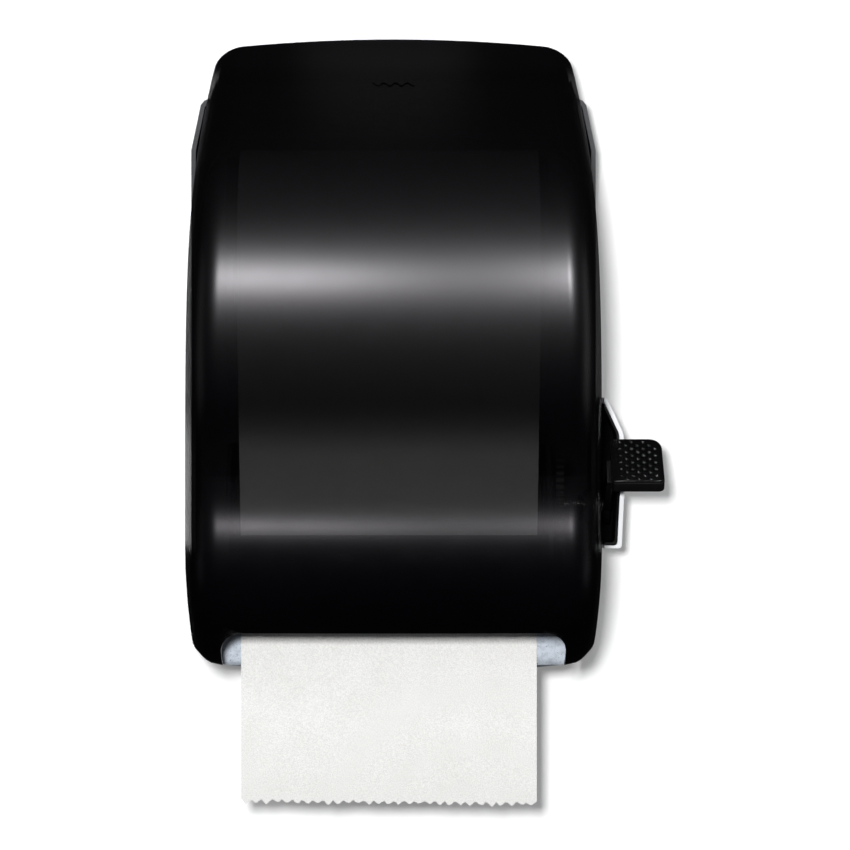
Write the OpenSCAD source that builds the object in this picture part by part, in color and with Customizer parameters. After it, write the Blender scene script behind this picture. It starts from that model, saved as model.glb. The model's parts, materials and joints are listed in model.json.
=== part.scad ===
// Lever roll-towel dispenser for a wall.
// Places are written as x (to the right), d (depth out from the wall) and h (height above the
// bottom of the chute). The origin is the middle of the housing's wall face, and +Z is up.

/* [Towel] */
// Width of the towel
towel_w = 198; // [190:0.5:200]
// Middle of the towel, left of the middle of the housing
towel_x = -3; // [-4:0.5:-2]
// Radius of the towel roll as it is now
roll_r = 82; // [60:1:84]
// How far the roll's axis lies in front of the towel's plane
roll_reach = 3; // [0:0.5:6]
// Height of the roll's axis
roll_h = 265; // [262:1:268]
// Outer radius of the cardboard core
core_r = 21.7; // [21:0.1:24]
// Wall of the cardboard core
core_wall = 1.2; // [0.8:0.1:2]
// Depth of the plane in which the towel hangs
towel_d = 115; // [114:0.5:116]
// How far the torn end hangs below the chute
towel_drop = 91; // [60:1:92]
// Thickness of the towel
towel_t = 0.4; // [0.3:0.05:0.5]

/* [Housing] */
// Height of the top of the arch above the roll's axis
above_roll = 161; // [150:1:175]
// Half width of the housing's straight sides
housing_half_w = 138; // [134:0.5:139]
// Gap between the housing's side walls and the cover's rim
rim_gap = 0.4; // [0.3:0.05:0.8]
// Wall thickness of the housing
housing_wall = 3; // [2:0.1:4]
// Half distance between the wall screws, across
screw_half_x = 70; // [50:1:85]
// Distance between the wall screws, up and down
screw_pitch_h = 180; // [150:1:190]
// Height of the lower wall screws
screw_low_h = 190; // [185:1:200]
// Radius of a wall screw hole
screw_hole_r = 2.75; // [2:0.05:3.5]

/* [Cover] */
// Distance from the towel's plane back to the cover's rim
rim_back = 53; // [51:0.5:55]
// Largest half width of the cover, at its rim
cover_half_w = 142.2; // [141:0.1:144]
// Height of the widest place of the cover
widest_h = 80; // [70:1:95]
// How much the cover draws in towards its top, on each side
top_draw = 18.4; // [14:0.1:22]
// How much the cover draws in towards its bottom, on each side
bottom_draw = 7.5; // [5:0.1:9]
// How far below the top the rim's arched top edge starts
shoulder_drop = 28.2; // [24:0.1:32]
// Draft of the cover's sides, from the rim to the front
side_draft = 10; // [6:0.1:12]
// Radius of the cover's long front corners
front_corner_r = 20; // [14:0.5:22]
// Crown of the cover's front and of its top edge
crown = 7; // [4:0.1:9]
// Radius of the cover's lower outer corners
foot_corner_r = 11.5; // [6:0.1:12]
// Wall thickness of the cover
cover_wall = 2.8; // [2:0.1:3.2]
// Radius of the upper belly, over the roll
belly_r = 147; // [144:0.5:150]
// Distance from the towel's plane to the front of the belly
belly_reach = 120; // [117:0.5:125]
// How far the middle of the belly lies below the roll's axis
belly_drop = 40; // [35:0.5:45]
// Radius of the lower bulge
bulge_r = 69; // [66:0.5:72]
// Distance from the towel's plane to the front of the lower bulge
bulge_reach = 108; // [106:0.5:111]
// Height of the middle of the lower bulge
bulge_h = 79; // [76:0.5:82]
// Radius of the waist between belly and bulge
waist_r = 6; // [5:0.5:30]
// Slope of the lower bulge at the lip, below the horizontal
lip_slope = 47.5; // [44:0.5:52]
// Distance from the towel's plane to the bottom ends of the cover's feet
foot_reach = 42; // [30:0.5:50]
// Half width of the paper window between the feet
window_half_w = 113.3; // [110:0.1:116]
// Radius of the paper window's upper corners
window_corner_r = 14; // [8:0.5:18]
// Length of the wavy key slot
slot_len = 29; // [20:0.5:34]
// Width of the wavy key slot
slot_w = 1.4; // [1:0.1:2]
// Height of the waves of the key slot
slot_wave = 1.1; // [0.5:0.1:2]
// Distance from the towel's plane back to the key slot
slot_back = 7; // [3:0.5:14]
// Distance from the cover's rim back to its hinge axis
hinge_back = 17; // [15:0.5:20]
// Height of the cover's hinge axis
hinge_h = 18; // [16:0.5:20]
// Radius of a hinge pin
hinge_pin_r = 2.5; // [2:0.1:3]

/* [Drive] */
// Radius of the rubber drive rollers
drive_r = 18; // [16:0.5:19]
// Width of each rubber roller
roller_w = 48; // [30:1:60]
// Distance from one rubber roller to the next
roller_pitch = 66; // [62:1:68]
// Height of the drive shaft
drive_h = 65; // [62:0.5:68]
// Radius of the drive shaft
drive_shaft_r = 4; // [3:0.5:5]
// Radius of the pinch roller
pinch_r = 9; // [7:0.5:10]
// Gap between the towel and the rollers
nip_gap = 0.3; // [0.2:0.05:0.5]
// Gear module
gear_m = 1.5; // [1.5:0.25:1.5]
// Teeth on the pinion
pinion_teeth = 29; // [28:1:30]
// Teeth that a whole sector wheel would have
sector_teeth = 96; // [94:1:98]
// Width of the gears
gear_w = 5; // [3:0.5:5.5]
// Free play of each gear tooth at its pitch circle
gear_play = 0.12; // [0.08:0.01:0.2]

/* [Lever] */
// Height of the lever's pivot
lever_h = 107; // [105:0.5:110]
// Stroke of the lever
lever_stroke = 48; // [40:1:48]
// Radius of the lever's shaft
lever_shaft_r = 5; // [4:0.5:6]
// Inner side of the finger pad
pad_in_x = 147; // [146:0.5:149]
// Outer side of the finger pad
pad_out_x = 181.6; // [175:0.1:184]
// Depth of the pad's rear edge
pad_rear_d = 86; // [85:0.5:88]
// Depth of the pad's front edge
pad_front_d = 122; // [116:0.5:126]
// Height of the pad's rear edge
pad_rear_h = 154; // [152:0.5:156]
// Height of the pad's front edge
pad_front_h = 125; // [122:0.5:128]
// Thickness of the pad
pad_t = 8.5; // [6:0.5:9]
// How much narrower the pad is at its rear
pad_taper = 0.5; // [0:0.5:6]
// Outer side of the pocket that the lever turns in
pocket_out_x = 157.5; // [156.5:0.1:159]
// How far the lever's guard stands in from that pocket
guard_step = 3.4; // [3.2:0.1:4]

/* [Fits] */
// Running clearance of a shaft in its bore
running = 0.05; // [0.03:0.01:0.1]
// Clearance between parts that pass each other
gap = 0.4; // [0.3:0.05:0.5]

/* [Hidden] */
$fn = 48;
body_h = roll_h + above_roll;
base_z = -body_h / 2;
plate_t = housing_wall;
top_h = body_h - 0.3;
rim_d = towel_d - rim_back;
housing_depth = rim_d - rim_gap;
shoulder_h = body_h - shoulder_drop;
belly_front_d = towel_d + belly_reach;
belly_h = roll_h - belly_drop;
bulge_front_d = towel_d + bulge_reach;
foot_d = towel_d + foot_reach;
foot_low_h = 4;
slot_d = towel_d - slot_back;
hinge_d = rim_d - hinge_back;
roll_d = towel_d + roll_reach;

// towel and roll
towel_left = towel_x - towel_w / 2;
towel_right = towel_x + towel_w / 2;
torn_h = -towel_drop;

// drive train
drive_d = towel_d + towel_t / 2 + nip_gap + drive_r;
pinch_d = towel_d - towel_t / 2 - nip_gap - pinch_r;
pinion_r = pinion_teeth * gear_m / 2;
sector_r = sector_teeth * gear_m / 2;
gear_distance = pinion_r + sector_r;
lever_d = drive_d - sqrt(pow(gear_distance, 2) - pow(lever_h - drive_h, 2));
drive_ratio = sector_teeth / pinion_teeth;
feed = lever_stroke * PI / 180 * drive_ratio * drive_r;
mesh_angle = atan2(drive_h - lever_h, lever_d - drive_d);

// side frames of the mechanism, and the arms that hold the roll
frame_t = 3;
left_frame_x = towel_left - 7 - frame_t;
right_frame_x = towel_right + 7;
frame_low_h = drive_h - 46;
frame_top_h = drive_h + 85;
frame_front_d = drive_d + 16.5;
arm_gap = 2;
arm_t = 6;
right_arm_t = 4;
left_arm_x = towel_left - arm_gap - arm_t;
right_arm_x = towel_right + arm_gap;
arm_r = roll_r - 6;
hub_r = core_r - core_wall - 0.1;
left_plug = 6;
right_plug = 10;
arm_pin_d = 22;
arm_pin_r = 2.5;
gears_x = right_frame_x + frame_t + 3;

// chute
nose_half_w = 116;
nose_front_d = towel_d - 3;
nose_top_h = 26;
nose_rise = 2.5;

// blade
bar_d = towel_d + 4;
bar_low_h = 33;
bar_top_h = 43;

// lever
arm_in_x = cover_half_w + 1.2;
arm_out_x = arm_in_x + 4.2;
gusset_x = pad_in_x + 5;
housing_out_x = housing_half_w;
guard_back_d = lever_d - 15.7;
guard_front_d = guard_back_d + 46.5;
pocket_back_d = guard_back_d - 18;
guard_wall = 1.6;
guard_lift = 2.4;
pocket_front_d = guard_front_d - 4.5;
guard_room = 0.5;

// bearing blocks and ears of the cover's hinge
hinge_x = 123.7;
ear_x = 130.5;
foot_room_r = 26;
foot_room_x = 133.5;

// latch
latch_pivot_d = rim_d - 2;
latch_pivot_h = top_h - 46.7;
catch_d = rim_d + 8;
latch_pin_r = 2;

// ---- small tools ----

function unit(v) = v / norm(v);

function arc(c, r, a0, a1, n) = [for (k = [0 : n])
    let (a = a0 + (a1 - a0) * k / n) c + r * [cos(a), sin(a)]];

function between(a, b, n) = [for (k = [0 : n]) a + (b - a) * k / n];

// one rounded corner of an outline, at b, or b itself where the radius is 0
function corner(a, b, c, r, n) =
    r == 0 ? [b] :
    let (
        u = unit(a - b),
        v = unit(c - b),
        half = acos(u * v) / 2,
        centre = b + unit(u + v) * r / sin(half),
        p0 = b + u * r / tan(half) - centre,
        p1 = b + v * r / tan(half) - centre,
        a0 = atan2(p0[1], p0[0]),
        turn = (atan2(p1[1], p1[0]) - a0 + 540) % 360 - 180
    )
    arc(centre, r, a0, a0 + turn, n);

// an outline with every corner rounded: r is one radius, or a list with one for each corner
function rounded(pts, r, n = 5) =
    let (m = len(pts))
    [for (i = [0 : m - 1])
        each corner(pts[(i + m - 1) % m], pts[i], pts[(i + 1) % m], is_list(r) ? r[i] : r, n)];

module at(x, d, h) translate([x, -d, base_z + h]) children();

// a cylinder along x
module rod(r, x0, x1, d, h) at(x0, d, h) rotate([0, 90, 0]) cylinder(r = r, h = x1 - x0);

module ring(r_out, r_in, x0, x1, d, h) difference() {
    rod(r_out, x0, x1, d, h);
    rod(r_in, x0 - 1, x1 + 1, d, h);
}

// an outline in (d, h), from x0 to x1
module slab_x(x0, x1, pts) translate([x0, 0, 0]) rotate([90, 0, 90])
    linear_extrude(x1 - x0) polygon([for (p = pts) [-p[0], base_z + p[1]]]);

// an outline in (x, h), from depth d0 to d1
module slab_d(d0, d1, pts) translate([0, -d0, base_z]) rotate([90, 0, 0])
    linear_extrude(d1 - d0) polygon(pts);

module block(x0, x1, d0, d1, h0, h1) at(x0, d1, h0) cube([x1 - x0, d1 - d0, h1 - h0]);

// a pan-head screw along depth, with its head at the front
module screw_d(x, d, h, r, head_r, length) at(x, d, h) rotate([90, 0, 0]) {
    translate([0, 0, -length]) cylinder(r = r, h = length + 0.5);
    difference() {
        cylinder(r1 = head_r, r2 = head_r * 0.7, h = head_r * 0.6);
        for (turn = [0, 90]) rotate([0, 0, turn])
            translate([-head_r * 0.55, -0.4, head_r * 0.35]) cube([head_r * 1.1, 0.8, head_r]);
    }
}

module screw_x(x, d, h, r, head_r, length) at(x, d, h) rotate([0, 90, 0]) {
    translate([0, 0, -length]) cylinder(r = r, h = length + 0.5);
    difference() {
        cylinder(r1 = head_r, r2 = head_r * 0.7, h = head_r * 0.6);
        for (turn = [0, 90]) rotate([0, 0, turn])
            translate([-head_r * 0.55, -0.4, head_r * 0.35]) cube([head_r * 1.1, 0.8, head_r]);
    }
}

// ---- involute gears, drawn in the (y, z) plane ----

function polar(r, a) = r * [cos(a), sin(a)];

// half the angle of a tooth at radius r
function tooth_half(teeth, r) =
    let (pitch = teeth * gear_m / 2, base = pitch * cos(20), a = acos(min(1, base / r)))
    90 / teeth - gear_play / 2 / pitch * 180 / PI
        + (tan(20) * 180 / PI - 20) - (tan(a) * 180 / PI - a);

function tooth(teeth, angle) =
    let (
        pitch = teeth * gear_m / 2,
        root = pitch - 1.25 * gear_m,
        tip = pitch + gear_m,
        start = max(root, pitch * cos(20)),
        radii = [for (k = [0 : 4]) start + (tip - start) * k / 4]
    )
    concat(
        [polar(root, angle - tooth_half(teeth, start))],
        [for (r = radii) polar(r, angle - tooth_half(teeth, r))],
        [for (k = [4 : -1 : 0]) polar(radii[k], angle + tooth_half(teeth, radii[k]))],
        [polar(root, angle + tooth_half(teeth, start))]
    );

module gear_x(x0, width, d, h) at(x0, d, h) rotate([90, 0, 90]) linear_extrude(width) children();

// ---- the cover's surface ----

// slopes and bends of the outline, as (depth, height)
belly_c = [belly_front_d - belly_r, belly_h];
bulge_c = [bulge_front_d - bulge_r, bulge_h];
rim_top = [rim_d, top_h];
foot_end = [foot_d, foot_low_h];

// centre of the circle of radius r that touches two others from outside, in front of them
function touching(c1, r1, c2, r2, r) =
    let (
        span = norm(c2 - c1),
        along = (pow(r1 + r, 2) - pow(r2 + r, 2) + pow(span, 2)) / (2 * span),
        u = (c2 - c1) / span
    )
    c1 + u * along + [-u[1], u[0]] * sqrt(pow(r1 + r, 2) - pow(along, 2));

waist_c = touching(belly_c, belly_r, bulge_c, bulge_r, waist_r);
belly_end = atan2(waist_c[1] - belly_c[1], waist_c[0] - belly_c[0]);
bulge_start = atan2(waist_c[1] - bulge_c[1], waist_c[0] - bulge_c[0]);
ramp_angle = let (to_rim = rim_top - belly_c)
    atan2(to_rim[1], to_rim[0]) - acos(belly_r / norm(to_rim));
belly_start = belly_c + polar(belly_r, ramp_angle);
lip = bulge_c + polar(bulge_r, -lip_slope);

// the cover's outline down its middle, as (depth, height)
profile = concat(
    [for (k = [0 : 4]) rim_top + (belly_start - rim_top) * k / 5],
    arc(belly_c, belly_r, ramp_angle, belly_end, 11),
    arc(waist_c, waist_r, belly_end + 180, bulge_start + 180, 6),
    arc(bulge_c, bulge_r, bulge_start, -lip_slope, 9),
    [for (t = [0.35, 0.65, 0.82, 0.92, 1]) lip + (foot_end - lip) * t]
);
stations = [for (i = [0 : len(profile) - 1])
    if (i == 0 || norm(profile[i] - profile[i - 1]) > 0.01) profile[i]];

// half width of the cover's rim at a height
function rim_half_w(h) =
    let (
        up = max(0, h - widest_h) / (shoulder_h - widest_h),
        down = max(0, widest_h - h) / widest_h,
        low = max(0, foot_corner_r + foot_low_h - h)
    )
    cover_half_w - top_draw * pow(up, 4.6) - bottom_draw * pow(down, 2)
        - (foot_corner_r - sqrt(pow(foot_corner_r, 2) - pow(low, 2)));

// height of the rim that belongs to a point of the outline
ramp_low_h = 300;
function rim_h(h) = h <= ramp_low_h ? h :
    ramp_low_h + (h - ramp_low_h) * (shoulder_h - ramp_low_h) / (top_h - ramp_low_h);

// one rib of the cover in its own plane, from the right rim to the left one
function rib(half_w, reach, r) =
    let (
        lean = atan2(side_draft * min(1, reach / 60), reach),
        rr = min(r, reach * 0.72),
        cy = reach - rr,
        cx = half_w - cy * tan(lean) - rr / cos(lean),
        start = [cx, cy] + polar(rr, lean),
        right = concat(
            [for (k = [0 : 3]) [half_w, 0] + (start - [half_w, 0]) * k / 4],
            arc([cx, cy], rr, lean, 90, 5),
            [for (x = [0.8, 0.6, 0.4, 0.2]) [cx * x, reach]]
        )
    )
    concat(right, [[0, reach]], [for (i = [len(right) - 1 : -1 : 0]) [-right[i][0], right[i][1]]]);

// the same rib in space, thinner by inset all round
function rib_at(p, inset) =
    let (
        foot = [rim_d, rim_h(p[1])],
        half_w = rim_half_w(foot[1]),
        reach = norm(p - foot),
        v = (p - foot) / reach,
        full = rib(half_w - inset, reach - inset, front_corner_r - inset / 2)
    )
    [for (q = full)
        let (w = q[1] - crown * pow(q[0] / half_w, 2) * q[1] / reach)
        [q[0], -(foot[0] + v[0] * w), base_z + foot[1] + v[1] * w]];

module cover_shell() {
    ribs_out = [for (p = stations) rib_at(p, 0)];
    ribs_in = [for (p = stations) rib_at(p, cover_wall)];
    rows = len(stations);
    cols = len(ribs_out[0]);
    inner = rows * cols;
    points = concat([for (r = ribs_out) each r], [for (r = ribs_in) each r]);
    outer_faces = [for (i = [0 : rows - 2], j = [0 : cols - 2])
        let (a = i * cols + j, b = a + 1, c = a + cols, d = c + 1)
        each [[a, d, b], [a, c, d]]];
    inner_faces = [for (f = outer_faces) [f[0] + inner, f[2] + inner, f[1] + inner]];
    side_faces = [for (i = [0 : rows - 2], j = [0, cols - 1])
        let (a = i * cols + j, c = a + cols)
        each j == 0
            ? [[a, c + inner, c], [a, a + inner, c + inner]]
            : [[c, a + inner, a], [c, c + inner, a + inner]]];
    end_faces = [for (i = [0, rows - 1], j = [0 : cols - 2])
        let (a = i * cols + j, b = a + 1)
        each i == 0
            ? [[b, a + inner, a], [b, b + inner, a + inner]]
            : [[a, b + inner, b], [a, a + inner, b + inner]]];
    polyhedron(points = points, faces = concat(outer_faces, inner_faces, side_faces, end_faces), convexity = 8);
}

// ---- housing ----

// the housing's outline in (x, h): the right half from the bottom up, then mirrored
housing_half = concat(
    [[housing_half_w - 4, 5], [housing_half_w, 9], [housing_half_w, 350],
     [housing_half_w - 6.5, 381], [housing_half_w - 9, 384], [housing_half_w - 13, 385.5],
     [rim_half_w(shoulder_h) - 3, shoulder_h]],
    [for (q = rib(rim_half_w(shoulder_h) - 3, top_h - shoulder_h - 3, front_corner_r))
        if (q[0] > 1 && q[1] > 4)
            [q[0], shoulder_h + q[1] - crown * pow(q[0] / rim_half_w(shoulder_h), 2)]]
);
housing_outline = concat(housing_half,
    [for (i = [len(housing_half) - 1 : -1 : 0]) [-housing_half[i][0], housing_half[i][1]]]);

module back_housing() color("gainsboro") difference() {
    union() {
        difference() {
            slab_d(0, housing_depth, housing_outline);
            translate([0, -plate_t, base_z]) rotate([90, 0, 0]) linear_extrude(housing_depth)
                offset(delta = -housing_wall) polygon(housing_outline);
        }
        // bearing blocks of the cover's hinge
        for (side = [-1, 1])
            slab_x(side * hinge_x - 2.75, side * hinge_x + 2.75,
                rounded([[2, 7], [hinge_d + 8, 7], [hinge_d + 8, hinge_h + 8], [2, hinge_h + 14]], [0, 3, 5, 0]));
        // boss of the lever's bush
        rod(lever_shaft_r + 6, housing_half_w - housing_wall - 4, housing_half_w - 1, lever_d, lever_h);
        // stiffening ribs behind the roll
        for (x = [-40, 40]) block(x - 1.25, x + 1.25, 2, 14, 200, 350);
    }
    for (x = [-screw_half_x, screw_half_x], h = [screw_low_h, screw_low_h + screw_pitch_h])
        at(x, plate_t + 1, h) rotate([-90, 0, 0]) cylinder(r = screw_hole_r, h = plate_t + 2);
    for (side = [-1, 1]) {
        // room for the cover's feet to swing under the housing
        rod(foot_room_r, side * foot_room_x - 6, side * foot_room_x + 6, hinge_d, hinge_h);
        rod(hinge_pin_r, side * hinge_x - 4, side * hinge_x + 4, hinge_d, hinge_h);
    }
    rod(lever_shaft_r + 2, housing_half_w - 20, housing_half_w + 1, lever_d, lever_h);
}

module chute_nose() color("gainsboro") intersection() {
    slab_x(-nose_half_w, nose_half_w, rounded([[housing_depth, 4.5], [housing_depth + 14, 0], [nose_front_d, 0],
        [nose_front_d, nose_top_h], [nose_front_d - 3, nose_top_h], [nose_front_d - 3, 3], [housing_depth + 15, 3],
        [housing_depth, 8]], [0, 10, 10, 1, 1, 7, 8, 0]));
    slab_d(0, 200, rounded([[-nose_half_w, 40], [-nose_half_w, nose_rise], [-nose_half_w + 20, 0],
        [nose_half_w - 20, 0], [nose_half_w, nose_rise], [nose_half_w, 40]], [0, 3, 40, 40, 3, 0]));
}

module paper_guide() color("gainsboro") slab_x(left_frame_x + frame_t, right_frame_x,
    [[nose_front_d - 3, nose_top_h], [nose_front_d, nose_top_h], [nose_front_d, drive_h - 20],
     [nose_front_d - 5, drive_h - 14], [nose_front_d - 7, drive_h - 16], [nose_front_d - 3, drive_h - 22]]);

frame_outline = rounded([[plate_t, frame_low_h], [frame_front_d - 66, frame_low_h], [frame_front_d, drive_h - 25],
    [frame_front_d, drive_h + 27], [frame_front_d - 60, frame_top_h], [plate_t, frame_top_h]], [0, 10, 14, 16, 12, 0]);

// a side frame's plate, with the holes that both frames have
module frame_plate(x) difference() {
    slab_x(x, x + frame_t, frame_outline);
    rod(drive_shaft_r + 2, x - 1, x + frame_t + 1, drive_d, drive_h);
    rod(pinch_r - 2, x - 1, x + frame_t + 1, pinch_d, drive_h);
    children();
}

module frame_foot(x0, x1) difference() {
    block(x0, x1, plate_t, plate_t + 3, frame_low_h + 6, frame_top_h - 6);
    for (h = [frame_low_h + 22, frame_top_h - 22])
        at((x0 + x1) / 2, plate_t + 4, h) rotate([-90, 0, 0]) cylinder(r = 2, h = 5);
}

module left_frame() color("gainsboro") {
    frame_plate(left_frame_x)
        slab_x(left_frame_x - 1, left_frame_x + frame_t + 1, rounded([[28, drive_h + 1], [70, drive_h + 1], [58, drive_h + 47],
            [28, drive_h + 47]], 8));
    frame_foot(left_frame_x + frame_t, left_frame_x + frame_t + 12);
}

module right_frame() color("gainsboro") {
    frame_plate(right_frame_x)
        rod(lever_shaft_r + 2, right_frame_x - 1, right_frame_x + frame_t + 1, lever_d, lever_h);
    frame_foot(right_frame_x - 12, right_frame_x);
}

module frame_screws() color("silver")
    for (x = [left_frame_x + frame_t + 6, right_frame_x - 6], h = [frame_low_h + 22, frame_top_h - 22])
        screw_d(x, plate_t + 3, h, 1.9, 3.6, 4);

module shaft_bushes() color("whitesmoke")
    for (side = [[left_frame_x - 2, left_frame_x + frame_t], [right_frame_x, right_frame_x + frame_t + 2]])
        difference() {
            union() {
                rod(drive_shaft_r + 2, side[0], side[1], drive_d, drive_h);
                rod(drive_shaft_r + 3.5, side[0] < 0 ? side[0] : side[1] - 2,
                    side[0] < 0 ? side[0] + 2 : side[1], drive_d, drive_h);
            }
            rod(drive_shaft_r + running, side[0] - 1, side[1] + 1, drive_d, drive_h);
        }

module blade_bar() color("gainsboro") slab_x(left_frame_x + frame_t, right_frame_x,
    rounded([[bar_d, bar_low_h], [bar_d + 8, bar_low_h + 3], [bar_d + 8, bar_top_h], [bar_d, bar_top_h]], [0, 2, 2, 0], 3));

blade_pitch = 6.9;
blade_left = left_frame_x + frame_t + 2;
blade_teeth = floor((right_frame_x - 2 - blade_left) / blade_pitch);
module tear_blade() color("silver") slab_d(bar_d - 1, bar_d, concat(
    [[blade_left + blade_teeth * blade_pitch, bar_top_h], [blade_left, bar_top_h]],
    [for (i = [0 : blade_teeth - 1]) each
        [[blade_left + i * blade_pitch, bar_low_h], [blade_left + (i + 0.5) * blade_pitch, bar_low_h - 3.4]]],
    [[blade_left + blade_teeth * blade_pitch, bar_low_h]]));

module blade_screws() color("silver")
    for (x = [-70, 0, 64]) at(x, bar_d - 1, (bar_low_h + bar_top_h) / 2) rotate([-90, 0, 0])
        cylinder(r = 3, h = 1.2);

// angles round the drive shaft where the roller guard starts and ends
guard_top = 75;
guard_end = -60;
module roller_guard() color("gainsboro") difference() {
    slab_x(left_frame_x + frame_t, right_frame_x, concat(
        arc([drive_d, drive_h], drive_r + 8, guard_top, guard_end, 10),
        arc([drive_d, drive_h], drive_r + 5.5, guard_end, guard_top, 10)));
    for (x = [-60 : 30 : 60]) slab_d(drive_d, drive_d + 40,
        rounded([[x - 10, drive_h - 13], [x + 4, drive_h - 13],
        [x + 4, drive_h + 13], [x - 10, drive_h + 13]], 4));
}

module pinch_blocks() color("whitesmoke")
    for (x = [left_frame_x, right_frame_x]) ring(pinch_r - 2, 2.5 + running, x, x + frame_t, pinch_d, drive_h);

module pinch_springs() color("silver")
    for (x = [left_frame_x + frame_t, right_frame_x - 3]) {
        block(x, x + 3, pinch_d - 8, pinch_d - 3.2, drive_h + 14, drive_h + 15);
        block(x, x + 3, pinch_d - 4, pinch_d - 3.2, drive_h - 12, drive_h + 14);
    }

// front view of the lever's pocket and guard: bottom, outer side and sloping shoulder
function pocket_outline(inset, lift) = let (out = pocket_out_x - inset, in = housing_out_x) rounded([
    [in, lever_h - 28 + lift], [out - 2.6, lever_h - 28 + lift], [out - 0.8, lever_h + 10], [out, lever_h + 30],
    [out - 1.4, lever_h + 50], [in + 7 - inset * 0.6, lever_h + 74 - inset], [in, lever_h + 75 - inset]], [0, 2.5, 30, 30, 14, 5 - inset * 0.6, 0], 6);

// the same view, open towards the housing
function pocket_room(inset, lift) =
    [for (p = pocket_outline(inset, lift)) [p[0] - (p[0] < housing_out_x + 1 ? 2 : 0), p[1]]];

// room for the cover's side beside the lever
module cover_room() block(housing_out_x - 3, cover_half_w + 0.8, rim_d - 1, guard_front_d + 1,
    lever_h - 37, lever_h + 83);

module lever_pocket() color("gainsboro") difference() {
    slab_d(pocket_back_d, pocket_front_d, pocket_outline(0, 0));
    slab_d(pocket_back_d + 3, guard_back_d - 3, [for (p = pocket_outline(3, 3)) [p[0] - 0.01, p[1]]]);
    slab_d(guard_back_d, pocket_front_d + 1, pocket_room(guard_step - guard_room, guard_lift - guard_room));
    cover_room();
}

module lever_guard() color("dimgray") difference() {
    slab_d(guard_back_d, guard_front_d, pocket_outline(guard_step, guard_lift));
    slab_d(guard_back_d + guard_wall, guard_front_d + 1, pocket_room(guard_step + guard_wall, guard_lift + guard_wall));
    cover_room();
}

module lever_bushes() color("whitesmoke") {
    ring(lever_shaft_r + 2, lever_shaft_r + running, right_frame_x, right_frame_x + frame_t, lever_d, lever_h);
    ring(lever_shaft_r + 2, lever_shaft_r + running, housing_half_w - housing_wall - 4, housing_half_w + 1, lever_d, lever_h);
}

module lever_spring() color("silver") {
    ring(lever_shaft_r + 2.6, lever_shaft_r + 0.8, gears_x + gear_w + 2, housing_half_w - housing_wall - 5, lever_d, lever_h);
    block(housing_half_w - housing_wall - 7, housing_half_w - housing_wall - 5, plate_t, lever_d - lever_shaft_r - 1.4,
        lever_h - 1, lever_h + 1);
}

module lever_stop() color("darkslategray") block(arm_in_x, arm_out_x, guard_back_d + guard_wall, lever_d,
    lever_h + 12 + gap, lever_h + 19);

// ---- roll holder ----

arm_neck = 19.6;
arm_outline = rounded([[arm_pin_d, roll_h - arm_neck], [arm_pin_d + 10, roll_h - arm_neck],
    [roll_d - 30, roll_h - arm_r], [roll_d + 30, roll_h - arm_r], [roll_d + arm_r - 6, roll_h - 30],
    [roll_d + arm_r - 6, roll_h + 30], [roll_d + 30, roll_h + arm_r], [roll_d - 30, roll_h + arm_r],
    [arm_pin_d + 10, roll_h + arm_neck], [arm_pin_d, roll_h + arm_neck]], [0, 6, 30, 30, 34, 34, 30, 30, 6, 0], 6);

module right_roll_arm() color("gainsboro") {
    slab_x(right_arm_x, right_arm_x + right_arm_t, arm_outline);
    block(right_arm_x, right_arm_x + right_arm_t, plate_t, arm_pin_d, roll_h - arm_neck, roll_h + arm_neck);
    block(right_arm_x, right_arm_x + 16, plate_t, plate_t + 3, roll_h - arm_neck, roll_h + arm_neck);
}

module right_hub() color("whitesmoke") rod(hub_r, towel_right - right_plug, right_arm_x, roll_d, roll_h);

module left_roll_arm() color("gainsboro") difference() {
    union() {
        slab_x(left_arm_x, left_arm_x + arm_t, arm_outline);
        at(left_arm_x + arm_t / 2, arm_pin_d, roll_h - 20) cylinder(r = 6, h = 40);
    }
    at(left_arm_x + arm_t / 2, arm_pin_d, roll_h - 30) cylinder(r = arm_pin_r + running, h = 60);
    at(left_arm_x + arm_t / 2, arm_pin_d, roll_h - 8) cylinder(r = 8, h = 16);
    // light pockets on the outer face
    slab_x(left_arm_x - 1, left_arm_x + 2, rounded([[roll_d + 24, roll_h - 30], [roll_d + 55, roll_h - 20],
        [roll_d + 55, roll_h + 20], [roll_d + 24, roll_h + 30]], 8));
}

module left_hub() color("whitesmoke") at(left_arm_x + arm_t, roll_d, roll_h) rotate([0, 90, 0])
    cylinder(r1 = hub_r, r2 = hub_r - 1.6, h = arm_gap + left_plug);

module left_arm_bracket() color("gainsboro") {
    x = left_arm_x + arm_t / 2;
    difference() {
        for (h = [roll_h - 24.4, roll_h + 20.4]) slab_h(h, h + 4, rounded([[x - 9, plate_t], [x - 9, arm_pin_d + 7],
            [x + 9, arm_pin_d + 7], [x + 9, plate_t]], [0, 8, 8, 0]));
        at(x, arm_pin_d, roll_h - 40) cylinder(r = arm_pin_r, h = 80);
    }
    block(x - 9, x + 9, plate_t, plate_t + 3, roll_h - 24.4, roll_h + 24.4);
}

module slab_h(h0, h1, pts) translate([0, 0, base_z + h0]) linear_extrude(h1 - h0)
    polygon([for (p = pts) [p[0], -p[1]]]);

module left_arm_pin() color("silver") at(left_arm_x + arm_t / 2, arm_pin_d, roll_h - 26)
    cylinder(r = arm_pin_r, h = 52);

module left_arm_spring() color("silver") at(left_arm_x + arm_t / 2, arm_pin_d, roll_h - 7) difference() {
    cylinder(r = arm_pin_r + 2.2, h = 14);
    translate([0, 0, -1]) cylinder(r = arm_pin_r + 0.6, h = 16);
}

// ---- latch ----

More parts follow.
